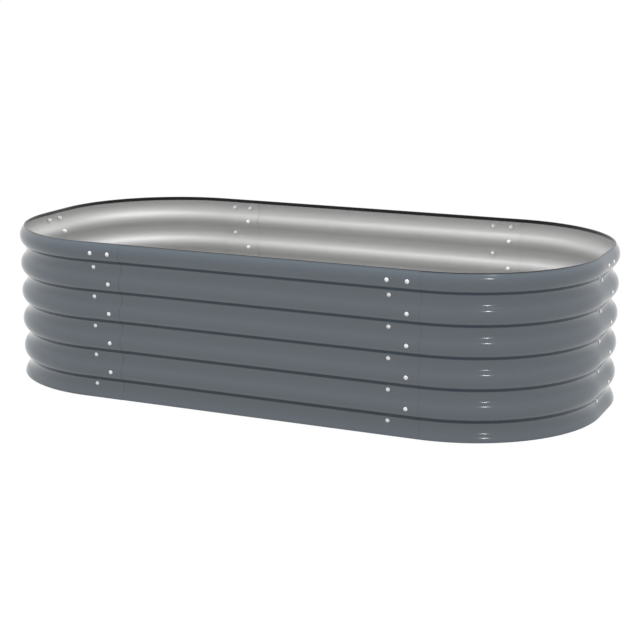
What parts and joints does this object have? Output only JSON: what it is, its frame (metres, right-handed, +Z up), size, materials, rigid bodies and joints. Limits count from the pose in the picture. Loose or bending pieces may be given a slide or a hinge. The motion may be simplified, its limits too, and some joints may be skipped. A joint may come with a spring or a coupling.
{
  "type": "raised garden bed",
  "caption": "Oval, open-bottomed raised garden bed of corrugated sheet-steel panels, lapped and screwed together, with a black rubber strip over its top edge.",
  "frame": {"origin": "centre of the footprint, at floor level", "axes": "+X along the bed's length, -Y its front, +Z up"},
  "size_m": [1.8352, 0.923, 0.4563],
  "materials": {
    "painted_steel": "satin slate-grey coat outside, light grey metal inside",
    "zinc": "bright zinc plate",
    "strip_rubber": "matt black"
  },
  "bodies": {
    "root": {"corner_panel_back_right": "painted_steel", "corner_panel_back_left": "painted_steel", "corner_panel_front_left": "painted_steel", "corner_panel_front_right": "painted_steel", "side_panel_back": "painted_steel", "side_panel_front": "painted_steel", "screws_back_right": "zinc", "washers_back_right": "zinc", "cap_nuts_back_right": "zinc", "screws_back_left": "zinc", "washers_back_left": "zinc", "cap_nuts_back_left": "zinc", "screws_left_end": "zinc", "washers_left_end": "zinc", "cap_nuts_left_end": "zinc", "screws_front_left": "zinc", "washers_front_left": "zinc", "cap_nuts_front_left": "zinc", "screws_front_right": "zinc", "washers_front_right": "zinc", "cap_nuts_front_right": "zinc", "screws_right_end": "zinc", "washers_right_end": "zinc", "cap_nuts_right_end": "zinc", "edge_strip": "strip_rubber"}
  },
  "joints": []
}
